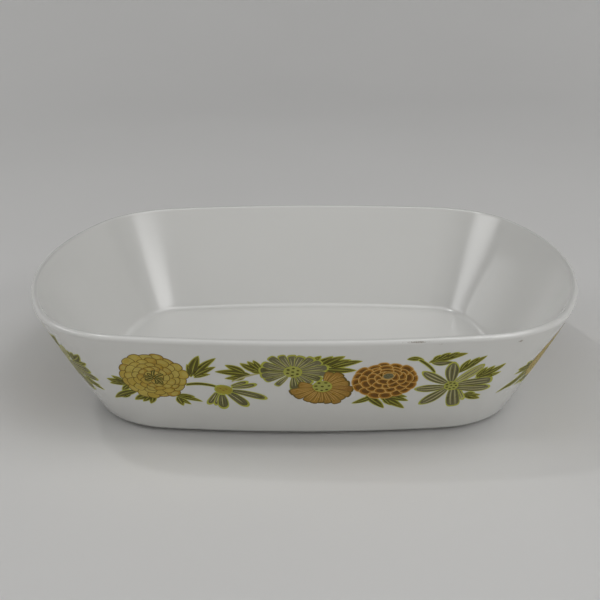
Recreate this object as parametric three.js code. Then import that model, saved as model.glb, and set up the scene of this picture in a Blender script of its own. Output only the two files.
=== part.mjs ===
// An open oblong casserole dish: one glazed porcelain casting with flaring walls, a rounded rim
// and a low foot ring, and four floral transfers fired onto the outside of its walls.
// Millimetres, +Z up, long axis along X. The origin is the middle of the foot, on the table.
import * as THREE from 'three';

const degree = Math.PI / 180;

// Driving dimensions: the casting
const length = 320;
const width = 245;
const height = 72;
const flare = 27 * degree; // lean of the walls from upright, the same all round
const rimThickness = 4;
const sideBow = 667; // plan radius of the two long sides
const endBow = 190; // plan radius of the two ends
const rimCorner = 63; // plan radius of the corners at the rim
const baseCorner = 49; // plan radius of the corners at the heel
const heelRadius = 5;

// Driving dimensions: the foot ring and the floor
const footHeight = 1.6;
const footWidth = 5;
const footSetback = 5; // from the heel's lowest line in to the foot ring
const footRounding = 0.5;
const floorThickness = 5.9;
const floorWall = 7; // wall thickness, measured level, where it meets the floor
const floorCorner = 30; // plan radius of the inside corners at the floor
const floorFillet = 6;

// Driving dimensions: the transfers. All four are the same garland, one to a side.
const transferGap = 0.3; // air under each transfer, so that the solids stay apart
const transferThickness = 0.3;
const transferMiddle = 44; // height of the garland's centre line
const garlandHalfLength = 103;
const garlandHalfHeight = 7; // of the leaves between the flower heads
const endShift = 2.5; // how far the two end garlands sit counter-clockwise of their middles
const endLift = 3; // and above the front one

// Flower heads of a garland: distance along the wall from its middle, height above the table,
// and radius
const flowers = [
  { along: -77, up: 45.5, radius: 18 },
  { along: -40, up: 35, radius: 13 },
  { along: -4, up: 50, radius: 15 },
  { along: 11, up: 39, radius: 15 },
  { along: 42, up: 43.5, radius: 16 },
  { along: 78, up: 39, radius: 19 },
];

// How finely the curves are cut
const cornerSteps = 10;
const sideSteps = 10;
const endSteps = 8;
const roundSteps = 5;
const garlandRows = 3;
const garlandStep = 7;

// Heights and sizes that follow
const rimRadius = rimThickness / 2;
const rimCentre = height - rimRadius;
const rimWall = rimThickness / Math.cos(flare); // wall thickness, measured level, at the rim
const floorHeight = footHeight + floorThickness;
const upright = 90 * degree;

const lerp = THREE.MathUtils.lerp;

// The outer wall's outline at a height, as half-lengths and the radii of its arcs
function outerPlan(z) {
  const inset = (rimCentre - z) * Math.tan(flare) - rimRadius * (1 / Math.cos(flare) - 1);
  const rise = (z - footHeight) / (rimCentre - footHeight);
  return {
    halfLength: length / 2 - inset,
    halfWidth: width / 2 - inset,
    sideBow,
    endBow,
    corner: lerp(baseCorner, rimCorner, rise),
  };
}

// The inner wall's outline at a height: the wall thickens from the rim down to the floor
function innerPlan(z) {
  const rise = (z - floorHeight) / (rimCentre - floorHeight);
  const plan = insetPlan(outerPlan(z), lerp(floorWall, rimWall, rise));
  plan.corner = lerp(floorCorner, rimCorner - rimWall, rise);
  return plan;
}

// An outline drawn in by the same distance all round, or out if the distance is negative
function insetPlan(plan, inset) {
  return {
    halfLength: plan.halfLength - inset,
    halfWidth: plan.halfWidth - inset,
    sideBow: plan.sideBow - inset,
    endBow: plan.endBow - inset,
    corner: plan.corner - inset,
  };
}

// The four bowed sides and the corner arcs that touch them, counter-clockwise from the middle
// of the front side, which faces -Y. Each arc runs into the next without a kink.
function outlineArcs(plan) {
  const sideCentre = plan.halfWidth - plan.sideBow;
  const endCentre = plan.halfLength - plan.endBow;
  const toSide = plan.sideBow - plan.corner;
  const toEnd = plan.endBow - plan.corner;
  // The corner's centre is at toSide from the side arc's centre and at toEnd from the end arc's
  const apart = Math.hypot(endCentre, sideCentre);
  const foot = (apart ** 2 + toSide ** 2 - toEnd ** 2) / (2 * apart);
  const off = Math.sqrt(toSide ** 2 - foot ** 2);
  const cornerX = (endCentre * foot - sideCentre * off) / apart;
  const cornerY = sideCentre - (sideCentre * foot + endCentre * off) / apart;
  const endAngle = Math.atan2(cornerY, cornerX - endCentre);
  const sideAngle = Math.atan2(cornerY - sideCentre, cornerX);
  const full = 4 * upright;
  const half = 2 * upright;
  const arc = (cx, cy, radius, from, to, steps) => ({ cx, cy, radius, from, to, steps });
  return [
    arc(0, -sideCentre, plan.sideBow, 3 * upright, full - sideAngle, sideSteps / 2),
    arc(cornerX, -cornerY, plan.corner, full - sideAngle, full - endAngle, cornerSteps),
    arc(endCentre, 0, plan.endBow, full - endAngle, full + endAngle, endSteps),
    arc(cornerX, cornerY, plan.corner, endAngle, sideAngle, cornerSteps),
    arc(0, sideCentre, plan.sideBow, sideAngle, half - sideAngle, sideSteps),
    arc(-cornerX, cornerY, plan.corner, half - sideAngle, half - endAngle, cornerSteps),
    arc(-endCentre, 0, plan.endBow, half - endAngle, half + endAngle, endSteps),
    arc(-cornerX, -cornerY, plan.corner, half + endAngle, half + sideAngle, cornerSteps),
    arc(0, -sideCentre, plan.sideBow, half + sideAngle, 3 * upright, sideSteps / 2),
  ];
}

function arcPoint(arc, share) {
  const angle = lerp(arc.from, arc.to, share);
  return [arc.cx + arc.radius * Math.cos(angle), arc.cy + arc.radius * Math.sin(angle)];
}

// One ring of the casting's skin: a plan, drawn in by an inset, at a height
function ring(plan, inset, z) {
  const points = [];
  for (const arc of outlineArcs(insetPlan(plan, inset))) {
    for (let step = 0; step < arc.steps; step += 1) {
      points.push(new THREE.Vector3(...arcPoint(arc, step / arc.steps), z));
    }
  }
  return points;
}

// Rings round a circular arc that touches a leaning wall. The angle is measured from level
// outwards, so the wall is met at -lean, and the lowest point of the circle is at -90 degrees.
function roundedRings(planAt, lean, radius, centre, from, to) {
  const rings = [];
  for (let step = 0; step <= roundSteps; step += 1) {
    const angle = lerp(from, to, step / roundSteps);
    const rise = radius * Math.sin(angle);
    const inset = rise * Math.tan(lean) + radius / Math.cos(lean) - radius * Math.cos(angle);
    rings.push(ring(planAt(centre + rise), inset, centre + rise));
  }
  return rings;
}

// The casting's skin as rings, from the middle of the underside round the rim to the floor
function dishRings() {
  const heelPlan = outerPlan(footHeight);
  const heelCentre = footHeight + heelRadius;
  const heelInset = heelRadius / Math.cos(flare) - heelRadius * Math.tan(flare);
  const footOuter = heelInset + footSetback;
  const footInner = footOuter + footWidth;
  const innerLean = Math.atan(Math.tan(flare) + (floorWall - rimWall) / (rimCentre - floorHeight));
  const wallMiddle = (heelCentre + rimCentre) / 2;
  return [
    ring(heelPlan, footInner, footHeight),
    ring(heelPlan, footInner, footRounding),
    ring(heelPlan, footInner - footRounding, 0),
    ring(heelPlan, footOuter + footRounding, 0),
    ring(heelPlan, footOuter, footRounding),
    ring(heelPlan, footOuter, footHeight),
    ...roundedRings(outerPlan, flare, heelRadius, heelCentre, -upright, -flare),
    ring(outerPlan(wallMiddle), 0, wallMiddle),
    ...roundedRings(outerPlan, flare, rimRadius, rimCentre, -flare, upright),
    ...roundedRings(outerPlan, flare, rimRadius, rimCentre, upright, 2 * upright - flare).slice(1),
    ring(innerPlan(wallMiddle), 0, wallMiddle),
    ...roundedRings(innerPlan, innerLean, floorFillet, floorHeight + floorFillet, -innerLean, -upright),
  ];
}

// A closed skin over a run of rings, with a flat cap on the first and the last
function skinOverRings(rings) {
  const around = rings[0].length;
  const positions = rings.flat().flatMap((point) => point.toArray());
  const faces = [];
  for (let row = 0; row + 1 < rings.length; row += 1) {
    for (let column = 0; column < around; column += 1) {
      const next = (column + 1) % around;
      const here = row * around + column;
      const beside = row * around + next;
      faces.push(here, beside, beside + around, here, beside + around, here + around);
    }
  }
  const capCentre = (row) => {
    positions.push(0, 0, rings[row][0].z);
    return positions.length / 3 - 1;
  };
  const lastRow = rings.length - 1;
  const first = capCentre(0);
  const last = capCentre(lastRow);
  for (let column = 0; column < around; column += 1) {
    const next = (column + 1) % around;
    faces.push(first, next, column);
    faces.push(last, lastRow * around + column, lastRow * around + next);
  }
  return indexedGeometry(positions, faces);
}

function indexedGeometry(positions, faces) {
  const geometry = new THREE.BufferGeometry();
  geometry.setAttribute('position', new THREE.Float32BufferAttribute(positions, 3));
  geometry.setIndex(faces);
  geometry.computeVertexNormals();
  return geometry;
}

// A point on the outer wall, or standing off it. quarter names the side: 0 front, 1 the +X end,
// 2 back, 3 the -X end. along is the distance round the outline from the middle of that side.
function wallPoint(quarter, along, z, standOff) {
  const arcs = outlineArcs(insetPlan(outerPlan(z), -standOff));
  const lengths = arcs.map((arc) => arc.radius * (arc.to - arc.from));
  const girth = lengths.reduce((sum, arcLength) => sum + arcLength, 0);
  let left = THREE.MathUtils.euclideanModulo((quarter * girth) / 4 + along, girth);
  let index = 0;
  while (left > lengths[index] && index < arcs.length - 1) {
    left -= lengths[index];
    index += 1;
  }
  return new THREE.Vector3(...arcPoint(arcs[index], left / lengths[index]), z);
}

// The top and bottom edges of a garland: a band of leaves that swells round each flower head
function garlandEdges(along) {
  let top = transferMiddle + garlandHalfHeight;
  let bottom = transferMiddle - garlandHalfHeight;
  for (const flower of flowers) {
    const across = Math.abs(along - flower.along);
    if (across < flower.radius) {
      const reach = Math.sqrt(flower.radius ** 2 - across ** 2) * Math.cos(flare);
      top = Math.max(top, flower.up + reach);
      bottom = Math.min(bottom, flower.up - reach);
    }
  }
  return { top, bottom };
}

// One transfer: a thin sheet that follows the wall, cut to its garland's outline. shift moves it
// along the wall and lift moves it up.
function transferGeometry(quarter, shift, lift) {
  const outside = (transferGap + transferThickness) / Math.cos(flare);
  const inside = transferGap / Math.cos(flare);
  const columns = Math.round((2 * garlandHalfLength) / garlandStep);
  const sections = [];
  for (let column = 0; column <= columns; column += 1) {
    const along = lerp(-garlandHalfLength, garlandHalfLength, column / columns);
    const { top, bottom } = garlandEdges(along);
    const section = [];
    for (let row = 0; row <= garlandRows; row += 1) {
      const z = lerp(bottom, top, row / garlandRows) + lift;
      section.push(wallPoint(quarter, along + shift, z, outside));
    }
    for (let row = garlandRows; row >= 0; row -= 1) {
      const z = lerp(bottom, top, row / garlandRows) + lift;
      section.push(wallPoint(quarter, along + shift, z, inside));
    }
    sections.push(section);
  }
  return closedStrip(sections);
}

// A closed sheet from cross-sections, each a loop of points, with flat ends
function closedStrip(sections) {
  const around = sections[0].length;
  const positions = sections.flat().flatMap((point) => point.toArray());
  const faces = [];
  for (let row = 0; row + 1 < sections.length; row += 1) {
    for (let column = 0; column < around; column += 1) {
      const next = (column + 1) % around;
      const here = row * around + column;
      const beside = row * around + next;
      faces.push(here, here + around, beside + around, here, beside + around, beside);
    }
  }
  const lastStart = (sections.length - 1) * around;
  for (let row = 0; row < garlandRows; row += 1) {
    const across = around - 1 - row;
    faces.push(row, row + 1, across - 1, row, across - 1, across);
    faces.push(lastStart + row, lastStart + across, lastStart + across - 1);
    faces.push(lastStart + row, lastStart + across - 1, lastStart + row + 1);
  }
  return indexedGeometry(positions, faces);
}

const glazedPorcelain = new THREE.MeshStandardMaterial({ color: 0xe9e8e2, roughness: 0.12, metalness: 0 });
const firedEnamel = new THREE.MeshStandardMaterial({ color: 0x9c8f45, roughness: 0.3, metalness: 0 });

const casseroleDish = new THREE.Group();

function addPiece(name, geometry, material) {
  const mesh = new THREE.Mesh(geometry, material);
  mesh.name = name;
  casseroleDish.add(mesh);
}

addPiece('dish_body', skinOverRings(dishRings()), glazedPorcelain);
addPiece('floral_transfer_front', transferGeometry(0, 0, 0), firedEnamel);
addPiece('floral_transfer_right', transferGeometry(1, endShift, endLift), firedEnamel);
addPiece('floral_transfer_back', transferGeometry(2, 0, 0), firedEnamel);
addPiece('floral_transfer_left', transferGeometry(3, endShift, endLift), firedEnamel);

export default casseroleDish;
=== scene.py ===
"""The looks of the open casserole dish: its glazed casting, printed garlands and a plain studio.

Shapes are worked out in millimetres, and turned into metres where a mesh is made.
"""
import math
import random
from collections import namedtuple

import bpy
import numpy as np
from mathutils import Matrix, Vector
from mathutils.geometry import delaunay_2d_cdt


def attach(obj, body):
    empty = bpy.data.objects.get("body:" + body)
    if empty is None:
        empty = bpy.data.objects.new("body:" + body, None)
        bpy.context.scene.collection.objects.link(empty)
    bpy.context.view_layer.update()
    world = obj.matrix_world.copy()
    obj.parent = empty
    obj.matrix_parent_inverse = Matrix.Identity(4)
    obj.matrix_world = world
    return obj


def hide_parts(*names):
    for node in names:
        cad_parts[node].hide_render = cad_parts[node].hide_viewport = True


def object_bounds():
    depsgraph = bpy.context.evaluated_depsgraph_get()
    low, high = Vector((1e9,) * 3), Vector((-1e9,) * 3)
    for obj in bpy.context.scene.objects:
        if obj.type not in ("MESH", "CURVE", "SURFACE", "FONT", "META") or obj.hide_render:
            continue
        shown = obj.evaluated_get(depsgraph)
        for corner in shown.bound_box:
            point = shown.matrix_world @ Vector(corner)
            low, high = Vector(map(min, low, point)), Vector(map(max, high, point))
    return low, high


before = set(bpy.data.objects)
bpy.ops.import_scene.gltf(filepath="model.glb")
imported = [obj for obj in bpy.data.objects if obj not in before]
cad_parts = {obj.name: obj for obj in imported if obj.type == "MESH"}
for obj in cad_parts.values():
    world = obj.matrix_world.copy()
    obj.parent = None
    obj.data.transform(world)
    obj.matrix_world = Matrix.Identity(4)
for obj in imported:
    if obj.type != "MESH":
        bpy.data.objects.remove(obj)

CAD_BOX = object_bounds()
MM = 0.001

# ---------------------------------------------------------------- the casting's sizes
LENGTH, WIDTH, HEIGHT = (CAD_BOX[1] - CAD_BOX[0]) / MM
FLARE = math.radians(27)  # lean of the outer wall from upright
RIM_RADIUS = 2.0
SIDE_BOW = 667.0  # plan radius of the long sides
END_BOW = 190.0  # plan radius of the ends
RIM_CORNER = 63.0  # plan radius of the outer corners at the rim
BASE_CORNER = 49.0  # and at the bottom of the wall
HEEL_RADIUS = 5.0  # between the outer wall and the underside
FOOT_HEIGHT = 1.6
FOOT_WIDTH = 5.0
FOOT_SETBACK = 5.0  # from the inner end of the heel's curve
FOOT_ROUNDING = 0.5
FLOOR_HEIGHT = 7.5
FLOOR_WALL = 7.0  # wall thickness, measured level, at the floor
FLOOR_CORNER = 30.0  # plan radius of the inner corners at the floor
FLOOR_FILLET = 6.0  # between the inner wall and the floor
RIM_CENTRE = HEIGHT - RIM_RADIUS
RIM_WALL = 2 * RIM_RADIUS / math.cos(FLARE)  # wall thickness, measured level, at the rim
HEEL_INSET = HEEL_RADIUS / math.cos(FLARE) - HEEL_RADIUS * math.tan(FLARE)
QUARTER = math.pi / 2
ARC_STEPS = (24, 36, 40, 36, 48, 36, 40, 36, 24)  # points on each arc of an outline
CAP_SHARES = np.linspace(0.04, 0.98, 24)  # sizes of the rings that fill a flat cap

Plan = namedtuple("Plan", "half_length half_width side_bow end_bow corner")
Arc = namedtuple("Arc", "cx cy radius start sweep")


def lerp(a, b, share):
    return a + (b - a) * share


def drawn_in(plan, inset):
    """The outline moved in by the same distance all round, or out if it is negative."""
    return Plan(*(size - inset for size in plan))


def outer_plan(z):
    """The outer wall's outline at a height."""
    inset = (RIM_CENTRE - z) * math.tan(FLARE) - RIM_RADIUS * (1 / math.cos(FLARE) - 1)
    rise = (z - FOOT_HEIGHT) / (RIM_CENTRE - FOOT_HEIGHT)
    return Plan(
        LENGTH / 2 - inset,
        WIDTH / 2 - inset,
        SIDE_BOW,
        END_BOW,
        lerp(BASE_CORNER, RIM_CORNER, rise),
    )


def inner_plan(z):
    """The inner wall's outline at a height: the wall thickens from the rim down to the floor."""
    rise = (z - FLOOR_HEIGHT) / (RIM_CENTRE - FLOOR_HEIGHT)
    plan = drawn_in(outer_plan(z), lerp(FLOOR_WALL, RIM_WALL, rise))
    return plan._replace(corner=lerp(FLOOR_CORNER, RIM_CORNER - RIM_WALL, rise))


def outline_arcs(plan):
    """The arcs of an outline, counter-clockwise from the middle of the front side (-Y)."""
    side_centre = plan.half_width - plan.side_bow
    end_centre = plan.half_length - plan.end_bow
    # The corner arc touches both bows, so its centre is to_side and to_end from their centres
    to_side = plan.side_bow - plan.corner
    to_end = plan.end_bow - plan.corner
    apart = np.hypot(end_centre, side_centre)
    ahead = (apart**2 + to_side**2 - to_end**2) / (2 * apart)
    aside = np.sqrt(to_side**2 - ahead**2)
    corner_x = (end_centre * ahead - side_centre * aside) / apart
    corner_y = side_centre - (side_centre * ahead + end_centre * aside) / apart
    end = np.arctan2(corner_y, corner_x - end_centre)
    side = np.arctan2(corner_y - side_centre, corner_x)
    turn = side - end
    half_side = QUARTER - side
    bow, cap, corner = plan.side_bow, plan.end_bow, plan.corner
    return [
        Arc(0, -side_centre, bow, -QUARTER, half_side),
        Arc(corner_x, -corner_y, corner, -side, turn),
        Arc(end_centre, 0, cap, -end, 2 * end),
        Arc(corner_x, corner_y, corner, end, turn),
        Arc(0, side_centre, bow, side, 2 * half_side),
        Arc(-corner_x, corner_y, corner, 2 * QUARTER - side, turn),
        Arc(-end_centre, 0, cap, 2 * QUARTER - end, 2 * end),
        Arc(-corner_x, -corner_y, corner, 2 * QUARTER + end, turn),
        Arc(0, -side_centre, bow, 2 * QUARTER + side, half_side),
    ]


def outline(plan, z):
    """One ring of points round the dish."""
    parts = []
    for arc, steps in zip(outline_arcs(plan), ARC_STEPS):
        angle = arc.start + arc.sweep * np.arange(steps) / steps
        x = arc.cx + arc.radius * np.cos(angle)
        y = arc.cy + arc.radius * np.sin(angle)
        parts.append(np.stack([x, y, np.full(steps, z)], 1))
    return np.concatenate(parts)


def wall_point(quarter, along, z, stand_off):
    """Points that stand off the outer wall, and its normals. quarter is 0 front, 1 the +X end,
    2 back, 3 the -X end, and along is the distance round from the middle of that side."""
    runs = outline_arcs(drawn_in(outer_plan(z), -stand_off / math.cos(FLARE)))
    lengths = [arc.radius * arc.sweep for arc in runs]
    girth = sum(lengths)
    left = np.mod(quarter * girth / 4 + along, girth)
    angle = np.zeros_like(left)
    x = np.zeros_like(left)
    y = np.zeros_like(left)
    placed = np.zeros(left.shape, bool)
    for arc, run in zip(runs, lengths):
        here = ~placed & (left <= run + 1e-9)
        turned = arc.start + left / arc.radius
        angle = np.where(here, turned, angle)
        x = np.where(here, arc.cx + arc.radius * np.cos(turned), x)
        y = np.where(here, arc.cy + arc.radius * np.sin(turned), y)
        placed |= here
        left = left - run
    outward, upward = math.cos(FLARE), -math.sin(FLARE)
    normal = np.stack(
        [np.cos(angle) * outward, np.sin(angle) * outward, np.full_like(angle, upward)], -1
    )
    return np.stack([x, y, z], -1), normal


# ---------------------------------------------------------------- meshes and node helpers
def mesh_object(name, points, faces, materials, face_material=None):
    mesh = bpy.data.meshes.new(name)
    mesh.from_pydata((np.asarray(points) * MM).tolist(), [], faces)
    for material in materials:
        mesh.materials.append(material)
    if face_material is not None:
        mesh.polygons.foreach_set("material_index", np.asarray(face_material, np.int32))
    mesh.polygons.foreach_set("use_smooth", np.ones(len(mesh.polygons), bool))
    mesh.update()
    obj = bpy.data.objects.new(name, mesh)
    bpy.context.scene.collection.objects.link(obj)
    return obj


class Nodes:
    """A short way to write a material's nodes."""

    def __init__(self, name):
        self.material = bpy.data.materials.new(name)
        self.material.use_nodes = True
        self.tree = self.material.node_tree
        self.shader = self.tree.nodes["Principled BSDF"]

    def add(self, kind, inputs=None, **settings):
        node = self.tree.nodes.new("ShaderNode" + kind)
        for key, value in settings.items():
            setattr(node, key, value)
        for key, value in (inputs or {}).items():
            if isinstance(value, bpy.types.NodeSocket):
                self.tree.links.new(value, node.inputs[key])
            else:
                node.inputs[key].default_value = value
        return node

    def place(self):
        """The point's place on the object, in metres."""
        return self.add("TexCoord").outputs["Object"]

    def noise(self, place, scale, detail=2.0, roughness=0.5):
        inputs = {"Vector": place, "Scale": scale, "Detail": detail, "Roughness": roughness}
        return self.add("TexNoise", inputs).outputs["Fac"]

    def ramp(self, value, low, high, to_low=0.0, to_high=1.0):
        inputs = {
            "Value": value,
            "From Min": low,
            "From Max": high,
            "To Min": to_low,
            "To Max": to_high,
        }
        return self.add("MapRange", inputs).outputs["Result"]

    def math(self, operation, a, b):
        return self.add("Math", {0: a, 1: b}, operation=operation).outputs[0]

    def mix(self, share, a, b):
        """Colour a, or b where share is 1."""
        node = self.add("Mix", data_type="RGBA")
        for key, value in ((0, share), (6, a), (7, b)):
            if isinstance(value, bpy.types.NodeSocket):
                self.tree.links.new(value, node.inputs[key])
            else:
                node.inputs[key].default_value = value if key == 0 else (*value, 1)
        return node.outputs[2]

    def bump(self, height, depth, strength):
        inputs = {"Height": height, "Distance": depth, "Strength": strength}
        return self.add("Bump", inputs).outputs["Normal"]

    def set(self, **values):
        """Sets the shader's sockets: underscores in a name stand for spaces."""
        for key, value in values.items():
            socket = self.shader.inputs[key.replace("_", " ")]
            if isinstance(value, bpy.types.NodeSocket):
                self.tree.links.new(value, socket)
            elif isinstance(value, tuple) and len(value) == 3:
                socket.default_value = (*value, 1)
            else:
                socket.default_value = value
        return self.material


GLAZE_SHADES = ((0.682, 0.680, 0.655), (0.700, 0.698, 0.674))
WORN_GLAZE = (0.26, 0.23, 0.19)
BISCUIT = (0.66, 0.62, 0.54)
SCUFFED_BISCUIT = (0.36, 0.34, 0.31)
WEAR_MARKS = (  # places on the rim, in mm, and how far they reach along each axis
    ((58.5, -120.3, 70.6), (7.0, 1.2, 0.5)),
    ((69.0, -119.4, 68.8), (2.2, 1.2, 0.4)),
    ((109.8, -109.8, 66.6), (1.5, 1.5, 0.9)),
)


def wear_mask(n, place):
    """Where the glaze has lost its shine: small ragged marks, 1 inside them."""
    ragged = n.ramp(n.noise(place, 1400.0, 3.0, 0.7), 0.3, 0.7, 0.35, 1.5)
    mask = 0.0
    for centre, reach in WEAR_MARKS:
        scale = tuple(1 / (part * MM) for part in reach)
        shift = tuple(-c * MM * k for c, k in zip(centre, scale))
        near = n.add("VectorMath", {0: place, 1: scale, 2: shift}, operation="MULTIPLY_ADD")
        far = n.add("VectorMath", {0: near.outputs[0]}, operation="LENGTH").outputs["Value"]
        mark = n.ramp(n.math("MULTIPLY", far, ragged), 0.5, 0.9, 1.0, 0.0)
        mask = n.math("MAXIMUM", mask, mark)
    return mask


def glaze_material():
    """White glaze: faint clouds, a slight orange peel, and dull brown wear marks on the rim."""
    n = Nodes("white_glaze")
    place = n.place()
    cloud = n.ramp(n.noise(place, 9.0, 1.0), 0.15, 0.85)
    colour = n.mix(cloud, *GLAZE_SHADES)
    worn = wear_mask(n, place)
    colour = n.mix(n.math("MULTIPLY", worn, 0.8), colour, WORN_GLAZE)
    peel = n.bump(n.noise(place, 14.0, 1.0), 0.0004, 0.35)
    rough = n.ramp(n.noise(place, 26.0, 1.0), 0.15, 0.85, 0.22, 0.28)
    rough = n.math("ADD", rough, n.math("MULTIPLY", worn, 0.4))
    coat = n.ramp(worn, 0.0, 1.0, 0.9, 0.0)
    return n.set(
        Base_Color=colour, Roughness=rough, IOR=1.5, Specular_IOR_Level=0.3, Normal=peel,
        Coat_Weight=coat, Coat_IOR=1.7, Coat_Roughness=0.2, Coat_Normal=peel,
    )


def biscuit_material():
    """The unglazed face that the dish stands on, grainy and scuffed."""
    n = Nodes("unglazed_foot")
    place = n.place()
    grain = n.noise(place, 1800.0, 3.0)
    scuff = n.ramp(n.noise(place, 55.0, 5.0, 0.65), 0.48, 0.66)
    colour = n.mix(scuff, BISCUIT, SCUFFED_BISCUIT)
    return n.set(Base_Color=colour, Roughness=0.82, Normal=n.bump(grain, 0.0001, 0.6))


# ---------------------------------------------------------------- the casting
def rounded_rings(plan_at, lean, radius, centre, start, end, steps):
    """Rings round an arc that touches a leaning wall; angles are from level, outwards."""
    rings = []
    for angle in np.linspace(start, end, steps + 1):
        rise = radius * math.sin(angle)
        inset = rise * math.tan(lean) + radius / math.cos(lean) - radius * math.cos(angle)
        rings.append(outline(drawn_in(plan_at(centre + rise), inset), centre + rise))
    return rings


def wall_rings(plan_at, low, high, steps):
    """Rings up or down a straight wall, without the first and the last."""
    levels = np.linspace(low, high, steps + 1)[1:-1]
    return [outline(plan_at(z), z) for z in levels]


def capped(ring, shares):
    """Rings that shrink towards the middle of a flat cap."""
    middle = np.array([0, 0, ring[0, 2]])
    return [middle + (ring - middle) * share for share in shares]


def foot_edge(heel, inset, side):
    """The rounded bottom edge of the foot ring: side is -1 for its inner edge, 1 for its outer."""
    rings = []
    for angle in np.linspace(0, QUARTER, 5):
        drawn = inset + side * FOOT_ROUNDING * (1 - math.cos(angle))
        rings.append(outline(drawn_in(heel, drawn), FOOT_ROUNDING * (1 - math.sin(angle))))
    return rings


def foot_rings():
    """Rings from the middle of the underside to the outside of the foot ring, and the number of
    the ring where the foot's flat face starts."""
    heel = outer_plan(FOOT_HEIGHT)
    foot_outer = HEEL_INSET + FOOT_SETBACK
    foot_inner = foot_outer + FOOT_WIDTH
    under = outline(drawn_in(heel, foot_inner), FOOT_HEIGHT)
    rings = capped(under, CAP_SHARES) + [under] + foot_edge(heel, foot_inner, -1)
    face_start = len(rings) - 1
    rings += foot_edge(heel, foot_outer, 1)[::-1]
    rings.append(outline(drawn_in(heel, foot_outer), FOOT_HEIGHT))
    return rings, face_start


def outside_rings():
    """Rings round the heel, up the outer wall and over the rim."""
    heel_centre = FOOT_HEIGHT + HEEL_RADIUS
    heel_top = heel_centre - HEEL_RADIUS * math.sin(FLARE)
    rim_low = RIM_CENTRE - RIM_RADIUS * math.sin(FLARE)
    over = 2 * QUARTER - FLARE
    rings = rounded_rings(outer_plan, FLARE, HEEL_RADIUS, heel_centre, -QUARTER, -FLARE, 12)
    rings += wall_rings(outer_plan, heel_top, rim_low, 20)
    rings += rounded_rings(outer_plan, FLARE, RIM_RADIUS, RIM_CENTRE, -FLARE, QUARTER, 12)
    rings += rounded_rings(outer_plan, FLARE, RIM_RADIUS, RIM_CENTRE, QUARTER, over, 8)[1:]
    return rings


def inside_rings():
    """Rings down the inner wall, round the fillet and over the floor."""
    lean = math.atan(math.tan(FLARE) + (FLOOR_WALL - RIM_WALL) / (RIM_CENTRE - FLOOR_HEIGHT))
    inner_rim = RIM_CENTRE + RIM_RADIUS * math.sin(FLARE)
    fillet_centre = FLOOR_HEIGHT + FLOOR_FILLET
    fillet_top = fillet_centre - FLOOR_FILLET * math.sin(lean)
    rings = wall_rings(inner_plan, inner_rim, fillet_top, 20)
    rings += rounded_rings(inner_plan, lean, FLOOR_FILLET, fillet_centre, -lean, -QUARTER, 14)
    return rings + capped(rings[-1], CAP_SHARES[::-1])


def band_faces(lower, upper, around):
    """The faces between two rings that start at these point numbers."""
    faces = []
    for column in range(around):
        after = (column + 1) % around
        faces.append((lower + column, lower + after, upper + after, upper + column))
    return faces


def make_casting():
    rings, face_start = foot_rings()
    rings += outside_rings() + inside_rings()
    around = len(rings[0])
    points = np.concatenate(rings + [[[0, 0, FOOT_HEIGHT]], [[0, 0, FLOOR_HEIGHT]]])
    under_middle, floor_middle = len(points) - 2, len(points) - 1
    faces = []
    face_material = []
    for row in range(len(rings) - 1):
        faces += band_faces(row * around, (row + 1) * around, around)
        face_material += [int(row == face_start)] * around
    top = (len(rings) - 1) * around
    for column in range(around):
        after = (column + 1) % around
        faces.append((under_middle, after, column))
        faces.append((floor_middle, top + column, top + after))
        face_material += [0, 0]
    materials = [glaze_material(), biscuit_material()]
    body = mesh_object("dish_casting", points, faces, materials, face_material)
    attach(body, "root")
    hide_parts("dish_body")


make_casting()

# ---------------------------------------------------------------- the garland's drawing
# Shapes are drawn flat and in order, each one over those before it. u runs along the wall from
# the middle of the garland and v up its slope. The three sprays become separate pieces.
LEAF = (0.12, 0.45, 1.45)  # half-width at the foot, where it is widest, squareness of the tip
PETAL = (0.45, 0.66, 2.1)
BLUNT = (0.45, 0.70, 3.2)
FAN = (0.22, 0.82, 3.0)
LOBE = (0.34, 0.58, 1.7)
LEAF_FULLNESS = 1.22  # how much broader a leaf is drawn than the width it is given
PETAL_FULLNESS = 1.12  # and a petal of the two daisies
SCALE_OVERLAP = 1.14  # and a rosette's petal than its share of the ring
SAME_PLACE = 0.02  # points of an outline that are closer than this are one
SEED = 7  # for the small differences between leaves and petals

Patch = namedtuple("Patch", "outline enamel spray")


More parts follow.
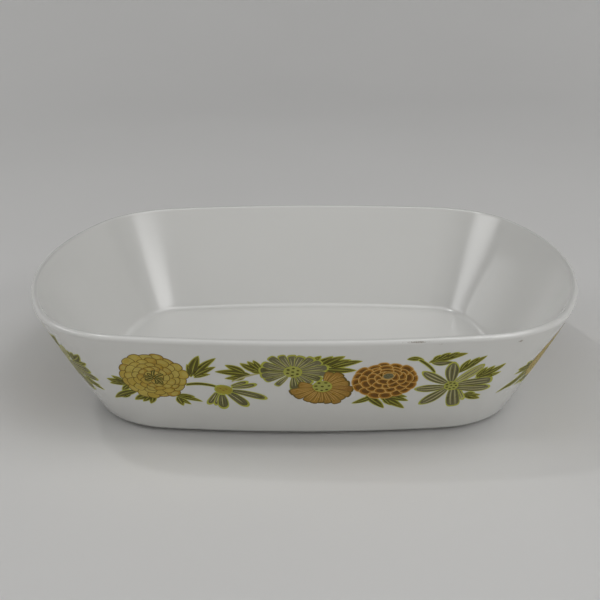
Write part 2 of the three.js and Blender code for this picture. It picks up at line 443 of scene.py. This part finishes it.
class Blade:
    """A leaf, petal or stalk along a bent line, with a half-width at each place."""

    def __init__(self, start, end, width, bend=0.0, shape=LEAF, steps=12):
        self.width, self.bend, self.shape, self.steps = width, bend, shape, steps
        self.start = np.array(start, float)
        self.along = np.array(end, float) - self.start
        self.side = np.array([-self.along[1], self.along[0]])
        self.length = math.hypot(*self.along)
        foot, widest, power = shape
        self.t = t = (1 - np.cos(np.linspace(0, 2 * QUARTER, steps + 1))) / 2
        self.spine = self.place(t)
        slope = self.along + np.outer(4 * bend * (1 - 2 * t), self.side)
        across = np.stack([-slope[:, 1], slope[:, 0]], 1)
        self.across = across / np.linalg.norm(across, axis=1)[:, None]
        rising = foot + (1 - foot) * np.sin(QUARTER * np.minimum(t / widest, 1)) ** 0.8
        falling = np.clip((t - widest) / (1 - widest), 0, 1)
        self.half = width / 2 * np.where(t < widest, rising, (1 - falling**power) ** (1 / power))

    def place(self, t):
        """Where the middle line is, at shares of its length."""
        return self.start + np.outer(t, self.along) + np.outer(4 * self.bend * t * (1 - t), self.side)

    def outline(self):
        """Both sides of the blade, as one closed loop."""
        reach = self.across * self.half[:, None]
        return tidy_loop(np.concatenate([self.spine + reach, (self.spine - reach)[::-1]]))

    def inner(self, rim, tip=None):
        """The blade inside this one, with a rim left round it and perhaps a longer tip."""
        low, high = 1.2 * rim / self.length, 1 - (tip or 1.4 * rim) / self.length
        start, end = self.place(np.array([low, high]))
        bend = self.bend * (high - low)
        return Blade(start, end, self.width - 2 * rim, bend, self.shape, self.steps)

    def stripe(self, width, low, high, share):
        """The outline of a thin stroke along the blade, beside its middle line."""
        t = np.linspace(low, high, self.steps)
        half = np.interp(t, self.t, self.half) * share
        across = np.stack([np.interp(t, self.t, self.across[:, axis]) for axis in (0, 1)], 1)
        middle = self.place(t) + across * half[:, None]
        inside = np.linspace(0.03, 0.97, self.steps)
        reach = across * (width / 2 * np.sin(2 * QUARTER * inside) ** 0.55)[:, None]
        return tidy_loop(np.concatenate([middle + reach, (middle - reach)[::-1]]))


def tidy_loop(points):
    """Leaves out points that repeat the one before."""
    gap = np.linalg.norm(points - np.roll(points, 1, axis=0), axis=1)
    return points[gap > SAME_PLACE]


def oval(centre, half_u, half_v, turn=0.0, power=2.0, count=16):
    """A rounded shape: power 2 is an ellipse, and a higher one squares it up."""
    angle = np.linspace(0, 4 * QUARTER, count, endpoint=False)
    reach = (np.abs(np.cos(angle)) ** power + np.abs(np.sin(angle)) ** power) ** (-1 / power)
    flat = np.stack([half_u * reach * np.cos(angle), half_v * reach * np.sin(angle)], 1)
    c, s = math.cos(turn), math.sin(turn)
    return np.array(centre, float) + flat @ np.array([[c, s], [-s, c]])


class Drawing:
    """The garland's patches, in the order in which they are laid down."""

    def __init__(self):
        self.patches = []
        self.random = random.Random(SEED)
        self.spray = ""

    def near(self, value, spread):
        """The value, give or take a share of it."""
        return value * self.random.uniform(1 - spread, 1 + spread)

    def patch(self, outline, enamel):
        if len(outline) >= 3:
            self.patches.append(Patch(outline, enamel, self.spray))

    def leaves(self, blades, rim=0.55):
        """Lobes of one leaf: their rims run together, and each has dark streaks and a pale vein."""
        made = [Blade(start, end, LEAF_FULLNESS * width, bend) for start, end, width, bend in blades]
        for blade in made:
            self.patch(blade.outline(), "leaf_edge")
        for blade in made:
            self.patch(blade.inner(rim).outline(), "leaf_mid")
        for blade in made:
            for share in (-0.42, 0.42):
                top = self.random.uniform(0.7, 0.86)
                self.patch(blade.stripe(0.24 * blade.width, 0.06, top, share), "leaf_dark")
            vein = self.random.uniform(-0.12, 0.12)
            self.patch(blade.stripe(0.3, 0.1, 0.76, vein), "leaf_edge")

    def petal(
        self, blade, rim, edge, fill, lines, stripes, stripe_width=0.4, reach=(0.08, 0.84), tip=None
    ):
        """One petal with its own rim, so that it parts from its neighbours."""
        self.patch(blade.outline(), edge)
        self.patch(blade.inner(rim, tip).outline(), fill)
        for share in stripes:
            top = reach[1] - self.random.uniform(0, 0.14)
            self.patch(blade.stripe(stripe_width, reach[0], top, share), lines)

    def rosette(self, centre, eye, size, rings, rim, edge, fills, marks, mark_size):
        """Rings of rounded petals like scales, from the outer one in towards the eye. A ring is
        its share of the size, its count and its petals' depth. Each petal has a mark inside it,
        and mark_size gives how far out that is and its share of the petal."""
        further, high, broad = mark_size
        self.patch(oval(centre, size[0] - 1.2, size[1] - 1.2, count=40), edge)
        for share, count, depth in rings:
            middle = np.array(eye) + (np.array(centre) - np.array(eye)) * share
            first = self.random.uniform(0, 4 * QUARTER)
            for index in range(count):
                turn = first + 4 * QUARTER * (index + self.random.uniform(-0.13, 0.13)) / count
                out = np.array([math.cos(turn), math.sin(turn)])
                reach = np.array(size) * share * self.near(1, 0.05)
                girth = 4 * QUARTER * share * (size[0] + size[1]) / 2
                half_across = self.near(girth / count / 2, 0.12) * SCALE_OVERLAP
                half_out = self.near(depth / 2, 0.1)
                place = middle + out * (reach - half_out)
                power = self.random.uniform(2.2, 3.0)
                self.patch(oval(place, half_out, half_across, turn, power, 20), edge)
                cell = oval(place, half_out - rim, half_across - rim, turn, power, 20)
                self.patch(cell, self.random.choice(fills))
                inner = place + out * further * half_out
                mark = oval(inner, high * half_out, broad * half_across, turn)
                self.patch(mark, self.random.choice(marks))

    def eye(self, centre, size, dots, dot_size):
        """A flower's round middle, with a rim and seeds."""
        self.patch(oval(centre, size[0], size[1], count=22), "leaf_edge")
        self.patch(oval(centre, size[0] - 0.6, size[1] - 0.6, count=20), "eye_green")
        for du, dv in dots:
            place = (centre[0] + du, centre[1] + dv)
            turn = self.random.uniform(-0.4, 0.4)
            half_u, half_v = self.near(dot_size[0], 0.15), self.near(dot_size[1], 0.15)
            self.patch(oval(place, half_u, half_v, turn), "leaf_dark")


def seeds(count, reach, first):
    """Places in a circle, from an angle on, and one in its middle."""
    turns = [first + 4 * QUARTER * index / count for index in range(count)]
    return [(reach * math.cos(turn), reach * math.sin(turn)) for turn in turns] + [(0, 0)]


def daisy(d, centre, foot, petals, rim, tip_gap, edge, fills, lines, stripes):
    """Petals round a middle, each given by its direction in degrees, its reach and its width."""
    for degrees, reach, width in petals:
        turn = math.radians(degrees)
        out = np.array([math.cos(turn), math.sin(turn)])
        bend = d.random.uniform(-0.03, 0.03)
        start, end = np.array(centre) + out * foot, np.array(centre) + out * reach
        blade = Blade(start, end, PETAL_FULLNESS * width, bend, FAN)
        tip = d.near(tip_gap, 0.3)
        d.petal(blade, rim, edge, d.random.choice(fills), lines, stripes, tip=tip)


def dahlia_leaves(d):
    """Leaves round the dahlia, then the three-lobed leaf to its right and the bell's stalk."""
    d.leaves([((-90, -5), (-104.5, -4.5), 4.6, 0.06), ((-91, -7), (-103.5, -8.8), 3.4, -0.08),
              ((-94, -4.5), (-101, -1), 2.8, 0.0), ((-91, -7), (-96.8, -13.6), 3.4, 0.0)])
    d.leaves([((-87, -12), (-103, -22.5), 4.4, -0.07), ((-92, -15), (-98, -20.5), 2.6, 0.05)])
    d.leaves([((-79, -14), (-90.5, -21), 4.6, -0.05), ((-80, -15), (-86, -22), 3.4, 0.0),
              ((-79.5, -14.5), (-82, -23.5), 3.6, 0.05)])
    d.leaves([((-67, -15), (-53, -19.4), 3.2, 0.04), ((-67, -14.5), (-56.8, -15.2), 2.8, 0.05),
              ((-67, -16), (-59.5, -22.4), 3.0, 0.0), ((-66.5, -15.5), (-64, -24), 3.6, 0.0)])
    d.leaves([((-57.5, 2), (-58.6, 13), 3.4, -0.05), ((-57, 3), (-51.8, 20.2), 5.0, 0.04),
              ((-56, 3), (-43.2, 18.6), 4.0, 0.05), ((-56, 2.5), (-43.8, 11.4), 3.6, 0.04),
              ((-56, 1.5), (-47, 5.0), 2.6, 0.06)])
    stalk = Blade((-61, -4.8), (-43.5, -6.2), 2.6, 0.11, (0.8, 0.3, 4), 14)
    d.patch(stalk.outline(), "leaf_edge")
    d.patch(stalk.inner(0.6).outline(), "leaf_dark")


def dahlia(d):
    d.rosette((-77.6, 1.2), (-77.2, 0.4), (18.6, 19.2),
              [(1.0, 17, 7.0), (0.81, 15, 6.4), (0.63, 13, 5.8), (0.46, 10, 5.2), (0.3, 7, 4.4)],
              rim=0.4, edge="brown_line", fills=["mustard", "mustard", "mustard_deep", "straw"],
              marks=["mustard", "straw", "straw"], mark_size=(0.3, 0.42, 0.55))
    d.patch(oval((-77.2, 0.4), 3.6, 3.6, power=2.2), "mustard_deep")
    strokes = [(82, 4.6), (28, 4.4), (-18, 3.6), (-58, 5.2), (-86, 4.2), (168, 3.8), (205, 4.4),
               (128, 3.4)]
    for turn, reach in strokes:
        out = np.array([math.cos(math.radians(turn)), math.sin(math.radians(turn))])
        start = np.array([-77.0, 0.4]) + out * 0.5
        stroke = Blade(start, start + out * reach * 1.25, 2.1, 0.14, PETAL, 10)
        d.patch(stroke.outline(), "leaf_dark")
        d.patch(stroke.stripe(0.42, 0.1, 0.9, 0.1), "straw")


def bell_flower(d):
    """The small flower that hangs from the dahlia's stalk."""
    bell = [((-45, -10.5), (-50.6, -21.8), 4.4, 0.04), ((-43.5, -11.5), (-46.6, -22.6), 3.2, 0.0),
            ((-42.3, -12), (-42.2, -25.6), 6.2, 0.0), ((-39.6, -10), (-29.2, -23), 6.4, 0.04),
            ((-37.5, -8.6), (-18.4, -15.6), 5.4, 0.03), ((-37, -5.6), (-23.4, -2.4), 4.2, -0.05),
            ((-37, -4.8), (-27.6, -0.4), 3.4, 0.02)]
    for start, end, width, bend in bell:
        blade = Blade(start, end, width, bend, PETAL)
        d.petal(blade, 0.6, "leaf_edge", "petal_dark", "pale_line", (-0.1,), 0.5, tip=1.6)
        for share in (-0.5, 0.45):
            d.patch(blade.stripe(0.5, 0.1, 0.8, share), "petal_grey")
    d.patch(oval((-41.2, -8.0), 4.9, 4.1, -0.3, 2.4, 18), "leaf_edge")
    d.patch(oval((-41.0, -8.2), 4.2, 3.5, -0.3, 2.4, 18), "olive")
    for du, dv in ((-1.6, 0.9), (-0.2, -0.6), (1.4, 0.6)):
        d.patch(oval((-41.2 + du, -8.0 + dv), 0.8, 0.35, -0.5), "ochre_deep")


def dahlia_spray(d):
    d.spray = "dahlia_spray"
    dahlia_leaves(d)
    dahlia(d)
    bell_flower(d)


def daisy_leaves(d):
    """Leaves to the left of the daisies, and the big one behind them."""
    d.leaves([((-26, 5), (-44.6, 7.2), 4.6, -0.04), ((-29, 6.5), (-39.2, 13), 4.2, -0.04),
              ((-28, 5), (-40, 1.8), 3.6, 0.05), ((-29, 4.5), (-36.4, 0.2), 3.0, 0.05)])
    stalk = Blade((-36.5, -1.0), (-19, 7.2), 1.3, 0.06, (0.5, 0.4, 3), 12)
    d.patch(stalk.outline(), "pale_line")
    d.leaves([((-20.5, 8), (-31.4, 15), 4.4, 0.05), ((-21, 8.5), (-27.6, 16.6), 3.6, 0.0),
              ((-20.5, 9), (-24.6, 17.6), 3.0, 0.0), ((-20, 7.5), (-26.6, 8.2), 2.8, 0.0)])
    d.leaves([((5, 12), (15.4, 21), 5.0, -0.05), ((9, 12), (21.6, 20.6), 4.6, 0.04),
              ((13, 12), (24.6, 17.8), 4.0, 0.04), ((14, 11), (30.4, 16.4), 4.2, 0.05),
              ((10, 10.5), (27.6, 9.0), 4.6, -0.03), ((3, 14), (9.6, 21.2), 4.0, 0.0)], 0.7)


def grey_daisy(d):
    petals = [(176, 17.6, 4.9), (156, 17.2, 4.7), (134, 17.0, 4.5), (113, 15.2, 4.0),
              (92, 14.2, 4.4), (70, 14.2, 4.3), (50, 16.0, 4.4), (31, 17.0, 4.4), (12, 18.4, 4.8),
              (-6, 17.8, 4.3), (-25, 16.4, 4.4), (-46, 14.0, 4.2), (-67, 13.8, 3.8),
              (-88, 15.4, 4.3), (-127, 15.0, 3.3), (-153, 16.6, 4.4), (-168, 17.4, 4.5)]
    daisy(d, (-4.7, 8), 3.6, petals, rim=0.42, tip_gap=1.1, edge="leaf_edge",
          fills=["petal_grey", "petal_grey", "petal_dark"], lines="pale_line",
          stripes=(-0.42, 0.38))
    d.eye((-4.8, 8), (4.8, 4.7), seeds(6, 2.9, 0.4), (0.85, 0.7))


def ochre_daisy(d):
    petals = [(68, 13.4, 5.2), (49, 15.2, 5.2), (28, 14.2, 4.6), (10, 14.8, 4.9), (-10, 16.8, 5.2),
              (-27, 17.0, 4.8), (-45, 16.2, 4.8), (-61, 17.4, 4.9), (-77, 15.6, 4.4),
              (-94, 14.8, 4.2), (-109, 15.6, 4.4), (-124, 15.6, 4.4), (-145, 17.0, 4.9),
              (-162, 17.8, 5.2), (171, 12.6, 5.0)]
    daisy(d, (10, -4.6), 4.2, petals, rim=0.36, tip_gap=0.9, edge="brown_line",
          fills=["ochre", "ochre", "ochre_deep"], lines="tan_line", stripes=(-0.5, 0.0, 0.5))
    dots = [(-1.7, 3.0), (1.8, 3.1), (-3.3, 0.4), (0, 0), (3.4, 0.5), (-2.9, -2.4), (-0.3, -3.4),
            (2.3, -2.7)]
    d.eye((10.2, -4.4), (5.1, 4.9), dots, (0.85, 0.7))


def daisy_cluster(d):
    d.spray = "daisy_cluster"
    daisy_leaves(d)
    grey_daisy(d)
    ochre_daisy(d)


def zinnia(d):
    """The zinnia over its leaves."""
    d.leaves([((38, -12.5), (25.6, -19.8), 3.6, 0.05), ((33, -13), (43, -25), 4.4, 0.03),
              ((40, -14), (54, -25.8), 4.6, 0.03), ((43, -14), (55.8, -19), 3.8, 0.03),
              ((42, -15), (47, -22.6), 3.4, 0.0), ((45, -12.5), (55, -15.4), 2.6, 0.03)])
    d.rosette((42.4, -0.6), (44.0, 3.2), (18.0, 15.2),
              [(1.0, 16, 5.8), (0.78, 13, 5.4), (0.57, 10, 5.0), (0.37, 6, 4.4)],
              rim=0.55, edge="tan_line", fills=["rust"], marks=["rust_deep"],
              mark_size=(-0.05, 0.58, 0.62))
    d.patch(oval((44.0, 3.4), 3.2, 2.8, 0.2, 2.2, 16), "tan_line")
    d.patch(oval((44.0, 3.4), 2.7, 2.3, 0.2, 2.2, 16), "petal_grey")
    for du, dv in ((-1.2, 0.9), (0.4, 1.0), (1.3, -0.2), (-0.3, -0.6), (-1.3, -0.8)):
        d.patch(oval((44 + du, 3.4 + dv), 0.42, 0.34), "leaf_dark")


def star_leaves(d):
    """The stalk and leaf over the star flower, and the leaves to its right."""
    d.leaves([((52.6, 16.6), (61.5, 15.4), 3.2, 0.12)])
    stalk = Blade((58.5, 16.4), (68, 4.5), 2.3, 0.06, (0.7, 0.3, 3), 12)
    d.patch(stalk.outline(), "leaf_edge")
    d.patch(stalk.inner(0.5).outline(), "leaf_dark")
    d.leaves([((64, 13.5), (83.4, 19.6), 4.6, 0.03), ((66, 15), (69.4, 19.6), 3.0, -0.05),
              ((69, 15.5), (74.6, 20.8), 3.2, 0.05), ((73, 16), (79, 20.9), 3.0, 0.05)])
    leaf = Blade((65.5, 13), (76.6, 13.2), 4.2, -0.06, LEAF)
    d.petal(leaf, 0.45, "leaf_edge", "petal_dark", "pale_line", (0.1,))
    d.leaves([((80, 3.5), (93.8, 16.8), 3.6, 0.02), ((81, 5), (85.4, 14.6), 3.0, 0.04),
              ((84, 7), (90, 16), 3.0, 0.04)])
    d.leaves([((89.5, -1.2), (105.6, 8.2), 3.8, -0.05), ((90, -0.6), (95.4, 7.4), 2.8, 0.0),
              ((93, 0), (99.6, 7.6), 2.8, 0.04), ((91, -1.6), (104, 1.4), 3.2, -0.05)])
    d.leaves([((84.5, -15), (95, -20.8), 4.0, -0.03), ((85.5, -15), (91.6, -14.8), 2.6, 0.0),
              ((86, -16), (95, -17.6), 2.8, 0.0)])


def star_flower(d):
    pale = ("pale_line", "petal_grey", "leaf_edge")
    grey = ("petal_grey", "pale_line", "leaf_dark")
    petals = [((81, -9), (85.4, -20.6), 3.8, 0.0, PETAL, pale),
              ((79, -9), (80.6, -26), 7.8, -0.02, BLUNT, grey),
              ((79.5, -8.6), (99.8, -11), 6.2, -0.03, PETAL, grey),
              ((79.5, -6.4), (100, -4.8), 6.6, 0.03, BLUNT, grey),
              ((78.6, -5), (93.4, 10), 6.2, -0.02, LOBE, pale),
              ((77.4, -4), (77, 13.4), 7.6, 0.02, LOBE, grey),
              ((75.4, -5), (61.2, 6.4), 6.6, 0.03, LOBE, grey),
              ((74.8, -7.6), (58, -8.6), 6.4, 0.03, LOBE, grey),
              ((75.4, -9.4), (61.4, -22.6), 7.0, 0.03, LOBE, grey)]
    for start, end, width, bend, shape, (fill, lines, streak) in petals:
        blade = Blade(start, end, width, bend, shape, 16)
        d.petal(blade, 0.45, "leaf_edge", fill, lines, (-0.34, 0.34), 0.62, (0.05, 0.92), 1.3)
        for share in (-0.66, 0.0, 0.66):
            d.patch(blade.stripe(0.4, 0.08, d.near(0.84, 0.06), share), streak)
    d.eye((77.6, -7.2), (3.9, 3.9), seeds(7, 2.5, 0.9), (0.7, 0.6))


def zinnia_spray(d):
    d.spray = "zinnia_spray"
    zinnia(d)
    star_leaves(d)
    star_flower(d)


def draw_garland():
    drawing = Drawing()
    dahlia_spray(drawing)
    daisy_cluster(drawing)
    zinnia_spray(drawing)
    return drawing.patches


# ---------------------------------------------------------------- enamel
ENAMELS = {
    "mustard": (0.49, 0.355, 0.058),
    "mustard_deep": (0.44, 0.28, 0.04),
    "straw": (0.51, 0.40, 0.085),
    "brown_line": (0.15, 0.10, 0.015),
    "leaf_edge": (0.43, 0.44, 0.06),
    "leaf_mid": (0.198, 0.178, 0.018),
    "leaf_dark": (0.095, 0.085, 0.010),
    "olive": (0.40, 0.34, 0.04),
    "petal_grey": (0.168, 0.155, 0.082),
    "petal_dark": (0.125, 0.115, 0.045),
    "pale_line": (0.46, 0.43, 0.19),
    "eye_green": (0.40, 0.40, 0.09),
    "ochre": (0.345, 0.195, 0.032),
    "ochre_deep": (0.30, 0.15, 0.025),
    "tan_line": (0.58, 0.36, 0.095),
    "rust": (0.34, 0.145, 0.012),
    "rust_deep": (0.15, 0.066, 0.006),
}
ENAMEL_ORDER = list(ENAMELS)
GARLAND_HEIGHT = 44.0  # the middle line's height on the wall
END_SHIFT = 2.5  # how far the two end garlands sit counter-clockwise of their middles
END_LIFT = 3.0  # and above the front one
SIDES = {  # each side's quarter of the outline, and its garland's shift and lift
    "front": (0, 0, 0),
    "right": (1, END_SHIFT, END_LIFT),
    "back": (2, 0, 0),
    "left": (3, END_SHIFT, END_LIFT),
}
SHEET_OUT = 0.06  # how far the enamel stands above the glaze
SHEET_IN = 0.03  # and how deep it goes into it
EDGE_STEP = 2.0  # the longest straight run of a patch's outline
GRID_STEP = 3.0  # spacing of the points that let a sheet follow the curved wall


def split_loop(loop):
    """The same closed outline with extra points on its long edges."""
    parts = []
    for start, end in zip(loop, np.roll(loop, -1, axis=0)):
        count = max(1, math.ceil(math.dist(start, end) / EDGE_STEP))
        parts.append(start + (end - start) * (np.arange(count) / count)[:, None])
    return np.concatenate(parts)


def covered(loop, places):
    """Which places are inside a closed outline."""
    inside = np.zeros(len(places), bool)
    x, y = places.T
    for (x0, y0), (x1, y1) in zip(loop, np.roll(loop, -1, axis=0)):
        if y0 != y1:
            crosses = ((y0 <= y) != (y1 <= y)) & (x < x0 + (y - y0) * (x1 - x0) / (y1 - y0))
            inside ^= crosses
    return inside


def cut_flat(patches):
    """Cuts the overlapping patches into triangles. Each belongs to the last patch that covers it."""
    points = []
    edges = []
    for patch in patches:
        loop = split_loop(patch.outline)
        first, count = len(points), len(loop)
        edges += [(first + i, first + (i + 1) % count) for i in range(count)]
        points += loop.tolist()
    low, high = np.min(points, axis=0), np.max(points, axis=0)
    for u in np.arange(low[0], high[0], GRID_STEP):
        for v in np.arange(low[1], high[1], GRID_STEP):
            points.append([u, v])
    found = delaunay_2d_cdt([Vector(p) for p in points], edges, [], 0, 1e-3, False)
    places = np.array([tuple(p) for p in found[0]])
    triangles = np.array([tuple(face) for face in found[2]])
    middles = places[triangles].mean(1)
    owners = np.full(len(triangles), -1)
    for number, patch in enumerate(patches):
        in_box = (middles > patch.outline.min(0)) & (middles < patch.outline.max(0))
        near = np.flatnonzero(in_box.all(axis=1))
        owners[near[covered(patch.outline, middles[near])]] = number
    return places, triangles, owners


def rim_edges(triangles):
    """The edges that only one triangle has, in that triangle's direction."""
    edges = {(t[i], t[(i + 1) % 3]) for t in triangles for i in range(3)}
    return [edge for edge in edges if (edge[1], edge[0]) not in edges]


def part_corners(triangles):
    """Gives a corner its own point wherever two parts of a sheet only touch at it. Corners are
    numbered three to a triangle, and those that meet across an edge are joined."""
    parent = list(range(3 * len(triangles)))

    def top(index):
        while parent[index] != index:
            parent[index] = parent[parent[index]]
            index = parent[index]
        return index

    sides = {}
    for number, t in enumerate(triangles):
        for i in range(3):
            sides[t[i], t[(i + 1) % 3]] = (3 * number + i, 3 * number + (i + 1) % 3)
    for (start, end), (here_start, here_end) in sides.items():
        if (end, start) in sides:
            there_end, there_start = sides[end, start]
            parent[top(here_start)] = top(there_start)
            parent[top(here_end)] = top(there_end)
    numbers = {}
    corners = []
    parted = []
    for number, t in enumerate(triangles):
        joined = [top(3 * number + i) for i in range(3)]
        for i in range(3):
            if joined[i] not in numbers:
                numbers[joined[i]] = len(corners)
                corners.append(t[i])
        parted.append(tuple(numbers[root] for root in joined))
    return corners, parted


def flat_sheets(patches):
    """One flat sheet for each spray: its points, triangles, their enamels and its rim."""
    places, triangles, owners = cut_flat(patches)
    sheets = {}
    for spray in dict.fromkeys(patch.spray for patch in patches):
        chosen = [i for i, owner in enumerate(owners)
                  if owner >= 0 and patches[owner].spray == spray]
        corners, parted = part_corners(triangles[chosen].tolist())
        colours = [ENAMEL_ORDER.index(patches[owners[i]].enamel) for i in chosen]
        sheets[spray] = (places[corners], parted, colours, rim_edges(parted))
    return sheets


def rim_colours(triangles, colours, rim):
    """The enamel of the triangle that each rim edge belongs to."""
    owner = {}
    for triangle, colour in zip(triangles, colours):
        for i in range(3):
            owner[triangle[i], triangle[(i + 1) % 3]] = colour
    return [owner[edge] for edge in rim]


def fired_sheet(name, sheet, side, materials):
    """A flat sheet laid on the wall and given its thickness. Its top shades as the wall does,
    and a zero normal leaves the other faces their own."""
    places, triangles, colours, rim = sheet
    quarter, shift, lift = SIDES[side]
    along = places[:, 0] + shift
    heights = GARLAND_HEIGHT + lift + places[:, 1] * math.cos(FLARE)
    above, normal = wall_point(quarter, along, heights, SHEET_OUT)
    below, _ = wall_point(quarter, along, heights, -SHEET_IN)
    count = len(places)
    faces = list(triangles)
    faces += [(c + count, b + count, a + count) for a, b, c in triangles]
    faces += [(b, a, a + count, b + count) for a, b in rim]
    face_material = colours * 2 + rim_colours(triangles, colours, rim)
    obj = mesh_object(name, np.concatenate([above, below]), faces, materials, face_material)
    normals = np.zeros((sum(len(face) for face in faces), 3))
    top = np.array(triangles).ravel()
    normals[: len(top)] = normal[top]
    obj.data.normals_split_custom_set(normals.tolist())
    return obj


def enamel_material(name, colour):
    """Fired enamel: a little uneven in depth, with a fine stipple from the printing screen."""
    n = Nodes(name)
    place = n.place()
    wash = n.ramp(n.noise(place, 120.0, 3.0, 0.6), 0.3, 0.7)
    thin = tuple(min(1.0, part * 1.10 + 0.006) for part in colour)
    dense = tuple(part * 0.88 for part in colour)
    mixed = n.mix(wash, dense, thin)
    stipple = n.ramp(n.noise(place, 2600.0, 2.0, 0.7), 0.5, 0.75, 0.0, 0.35)
    mixed = n.mix(stipple, mixed, tuple(part * 0.72 for part in colour))
    rough = n.ramp(n.noise(place, 300.0, 2.0), 0.3, 0.7, 0.26, 0.36)
    relief = n.bump(n.noise(place, 900.0, 2.0), 0.00002, 0.35)
    return n.set(Base_Color=mixed, Roughness=rough, IOR=1.5, Specular_IOR_Level=0.12, Normal=relief)


def make_garlands():
    materials = [enamel_material("enamel_" + name, ENAMELS[name]) for name in ENAMEL_ORDER]
    sheets = flat_sheets(draw_garland())
    for side in SIDES:
        for spray, sheet in sheets.items():
            piece = fired_sheet(f"{side}_{spray}", sheet, side, materials)
            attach(piece, "root")
            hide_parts("floral_transfer_" + side)


make_garlands()

# ---------------------------------------------------------------- camera, table and lights
CAMERA_TURN = 0.0162  # radians round +Z from facing +Y
CAMERA_RISE = 0.3767  # radians above level
CAMERA_ROLL = -0.0085  # radians
CAMERA_DISTANCE = 587.6
CAMERA_AIM = (-2.672, 45.6)  # across and up
LENS = 56.94
SENSOR = 36.0

TABLE_SHADES = ((0.678, 0.674, 0.663), (0.698, 0.694, 0.683))
TABLE_REACH = 2200.0
TABLE_FLAT = 1000.0  # how far from the dish it starts to curl up
TABLE_CURL = 0.00045  # the rise is this times the square of the distance past there
TABLE_STEPS = 44

AMBIENT = (1.0, 0.995, 0.985, 1)
AMBIENT_STRENGTH = 0.05
LIGHT_AIM = Vector((0, 0, 0.03))  # in metres
LIGHTS = (  # name, azimuth and elevation in degrees, distance and size in metres, power in watts
    ("overhead", -90, 82, 3.5, (4.0, 1.4), 18.0),
    ("strip", -90, 71, 3.5, (4.0, 0.3), 12.5),
    ("front", -90, 38, 3.5, (6.4, 1.3), 9.6),
    ("right_top", -18, 58, 3.5, (2.4, 1.4), 19.5),
    ("right_window", -40, 34, 1.8, (1.1, 0.44), 4.3),
    ("right_spill", -52, 35, 1.8, (3.2, 0.5), 0.75),
    ("left_pane", 182, 32, 3.5, (2.1, 0.9), 15.0),
    ("left_lamp", 165, 62, 3.5, (0.2, 0.2), 8.0),
)


def make_camera():
    turn, rise, roll = CAMERA_TURN, CAMERA_RISE, CAMERA_ROLL
    back = Vector((math.sin(turn) * math.cos(rise), -math.cos(turn) * math.cos(rise), math.sin(rise)))
    aim = Vector((CAMERA_AIM[0] * math.cos(turn), CAMERA_AIM[0] * math.sin(turn), CAMERA_AIM[1]))
    right = (-back).cross(Vector((0, 0, 1))).normalized()
    up = right.cross(-back)
    rolled_right = right * math.cos(roll) + up * math.sin(roll)
    rolled_up = up * math.cos(roll) - right * math.sin(roll)
    data = bpy.data.cameras.new("camera")
    data.lens = LENS
    data.sensor_width = SENSOR
    data.clip_start = 0.01
    camera = bpy.data.objects.new("camera", data)
    axes = Matrix((rolled_right, rolled_up, back)).transposed().to_4x4()
    camera.matrix_world = Matrix.Translation((aim + back * CAMERA_DISTANCE) * MM) @ axes
    bpy.context.scene.collection.objects.link(camera)
    bpy.context.scene.camera = camera


def area_light(name, azimuth, elevation, distance, size, power):
    """A soft light aimed at the dish: azimuth is from +X towards +Y."""
    turn, rise = math.radians(azimuth), math.radians(elevation)
    out = Vector((math.cos(turn) * math.cos(rise), math.sin(turn) * math.cos(rise), math.sin(rise)))
    data = bpy.data.lights.new(name, "AREA")
    data.shape = "RECTANGLE"
    data.size, data.size_y = size
    data.energy = power
    light = bpy.data.objects.new(name, data)
    light.location = out * distance
    light.rotation_euler = (LIGHT_AIM - light.location).to_track_quat("-Z", "Y").to_euler()
    light.visible_camera = False
    bpy.context.scene.collection.objects.link(light)


def make_table():
    """A plain pale table that is flat around the dish and curls up far from it."""
    n = Nodes("studio_floor")
    cloud = n.ramp(n.noise(n.place(), 2.5, 2.0), 0.3, 0.7)
    material = n.set(Base_Color=n.mix(cloud, *TABLE_SHADES), Roughness=0.7)
    line = np.linspace(-TABLE_REACH, TABLE_REACH, TABLE_STEPS + 1)
    points = []
    for y in line:
        for x in line:
            past = max(0.0, math.hypot(x, y) - TABLE_FLAT)
            points.append((x, y, TABLE_CURL * past**2))
    faces = []
    for row in range(TABLE_STEPS):
        first = row * (TABLE_STEPS + 1)
        for i in range(first, first + TABLE_STEPS):
            faces.append((i, i + 1, i + TABLE_STEPS + 2, i + TABLE_STEPS + 1))
    mesh_object("studio_floor", points, faces, [material])


def make_studio():
    make_camera()
    make_table()
    world = bpy.data.worlds.new("studio")
    world.use_nodes = True
    background = world.node_tree.nodes["Background"]
    background.inputs["Color"].default_value = AMBIENT
    background.inputs["Strength"].default_value = AMBIENT_STRENGTH
    bpy.context.scene.world = world
    for light in LIGHTS:
        area_light(*light)
    bpy.context.scene.view_settings.view_transform = "Standard"


make_studio()
